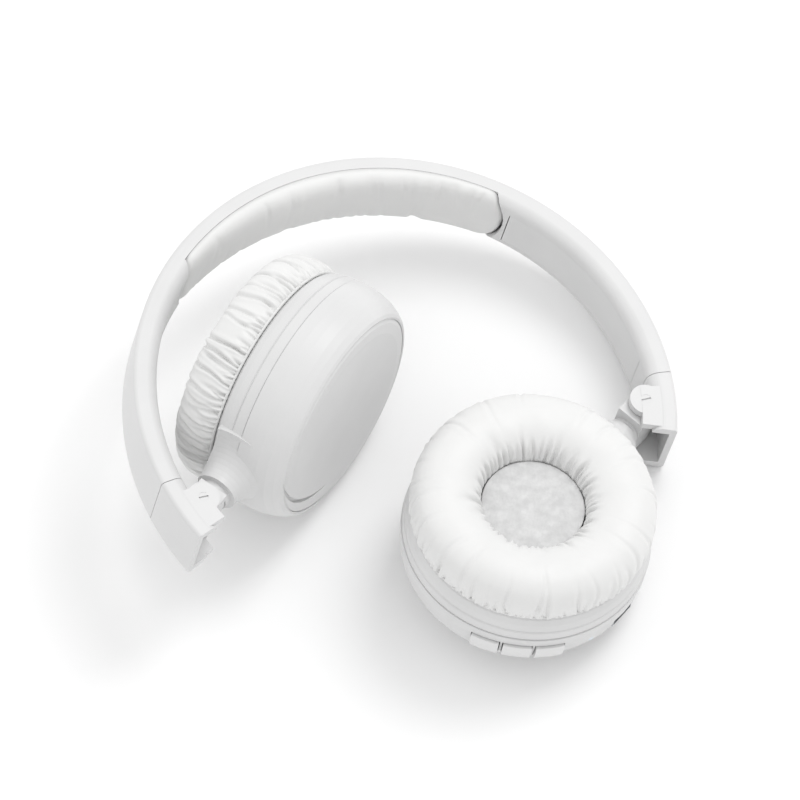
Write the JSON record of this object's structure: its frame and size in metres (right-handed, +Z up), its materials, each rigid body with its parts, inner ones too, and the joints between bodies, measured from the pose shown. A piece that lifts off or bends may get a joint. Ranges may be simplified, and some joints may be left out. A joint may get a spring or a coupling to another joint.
{
  "type": "folding on-ear headphones",
  "caption": "Foldable wireless headphones with round padded cups, a padded headband, sliding arms and press keys on one cup, lying half folded.",
  "frame": {"origin": "centre of the bounding box's base, on the table the headset lies on", "axes": "+Z up from the table, +X towards the opened right cup's arm, +Y towards the headband's crown"},
  "size_m": [0.1618, 0.1545, 0.0738],
  "materials": {
    "white_shell": "satin",
    "white_keys": "satin",
    "inner_trim": "matte",
    "soft_pad": "matte",
    "speaker_cloth": "matte",
    "foam": "matte",
    "steel": "satin",
    "dark_plastic": "matte",
    "driver_metal": "satin",
    "film": "gloss",
    "cable_sheath": "matte",
    "cell_foil": "satin",
    "board": "gloss",
    "lens": "gloss"
  },
  "bodies": {
    "headband": {"headband_shell": "white_shell", "headband_pad": "soft_pad", "pad_plate": "dark_plastic", "spring_band": "steel", "band_cable": "cable_sheath", "left_inner_cover": "inner_trim", "right_inner_cover": "inner_trim", "left_slider_guide": "dark_plastic", "right_slider_guide": "dark_plastic"},
    "left_arm": {"left_arm_shell": "white_shell", "left_slider_strip": "steel", "left_fold_pin": "steel"},
    "right_arm": {"right_arm_shell": "white_shell", "right_slider_strip": "steel", "right_fold_pin": "steel"},
    "left_hinge": {"left_hinge_block": "white_shell", "left_swivel_shaft": "steel", "left_swivel_clip": "steel"},
    "right_hinge": {"right_hinge_block": "white_shell", "right_swivel_shaft": "steel", "right_swivel_clip": "steel"},
    "left_cup": {"left_housing": "white_shell", "left_cap": "white_shell", "left_trim_ring": "white_shell", "left_front_housing": "white_shell", "left_baffle": "dark_plastic", "left_driver": "driver_metal", "left_diaphragm": "film", "left_foam_disc": "foam", "left_speaker_cloth": "speaker_cloth", "left_ear_cushion": "soft_pad", "left_screws": "steel", "battery": "cell_foil"},
    "right_cup": {"right_housing": "white_shell", "right_cap": "white_shell", "right_trim_ring": "white_shell", "right_front_housing": "white_shell", "right_baffle": "dark_plastic", "right_driver": "driver_metal", "right_diaphragm": "film", "right_foam_disc": "foam", "right_speaker_cloth": "speaker_cloth", "right_ear_cushion": "soft_pad", "right_screws": "steel", "main_board": "board", "charging_port": "steel", "status_lens": "lens"},
    "volume_down": {"volume_down_key": "white_keys"},
    "play": {"play_key": "white_keys"},
    "volume_up": {"volume_up_key": "white_keys"}
  },
  "joints": [
    {"name": "left_slider", "type": "hinge", "parent": "headband", "child": "left_arm", "pos_m": [0, -0.00389, 0.02991], "axis": [0.2365, 0.0408, 0.9708], "range_deg": [0, 16.5]},
    {"name": "right_slider", "type": "hinge", "parent": "headband", "child": "right_arm", "pos_m": [0, -0.00389, 0.02991], "axis": [-0.2365, -0.0408, -0.9708], "range_deg": [0, 16.5]},
    {"name": "left_fold", "type": "hinge", "parent": "left_arm", "child": "left_hinge", "pos_m": [-0.05785, -0.04311, 0.04565], "axis": [-0.2365, -0.0408, -0.9708], "range_deg": [-2.6, 18]},
    {"name": "right_fold", "type": "hinge", "parent": "right_arm", "child": "right_hinge", "pos_m": [0.06935, 0.00168, 0.01278], "axis": [0.2365, 0.0408, 0.9708], "range_deg": [-26, 40.7]},
    {"name": "left_swivel", "type": "hinge", "parent": "left_hinge", "child": "left_cup", "pos_m": [-0.05253, -0.03481, 0.04401], "axis": [0.5319, 0.8307, -0.1645], "range_deg": [-5, 100]},
    {"name": "right_swivel", "type": "hinge", "parent": "right_hinge", "child": "right_cup", "pos_m": [0.0632, -0.00599, 0.0146], "axis": [-0.6152, -0.767, 0.1821], "range_deg": [-4, 101]},
    {"name": "volume_down_press", "type": "slide", "parent": "right_cup", "child": "volume_down", "axis": [0.3078, 0.9411, -0.1397], "range_m": [0, 0.0006], "stiffness_N_per_m": 400},
    {"name": "play_press", "type": "slide", "parent": "right_cup", "child": "play", "axis": [0.0557, 0.9937, -0.097], "range_m": [0, 0.0006], "stiffness_N_per_m": 400},
    {"name": "volume_up_press", "type": "slide", "parent": "right_cup", "child": "volume_up", "axis": [-0.2002, 0.9786, -0.0477], "range_m": [0, 0.0006], "stiffness_N_per_m": 400}
  ]
}
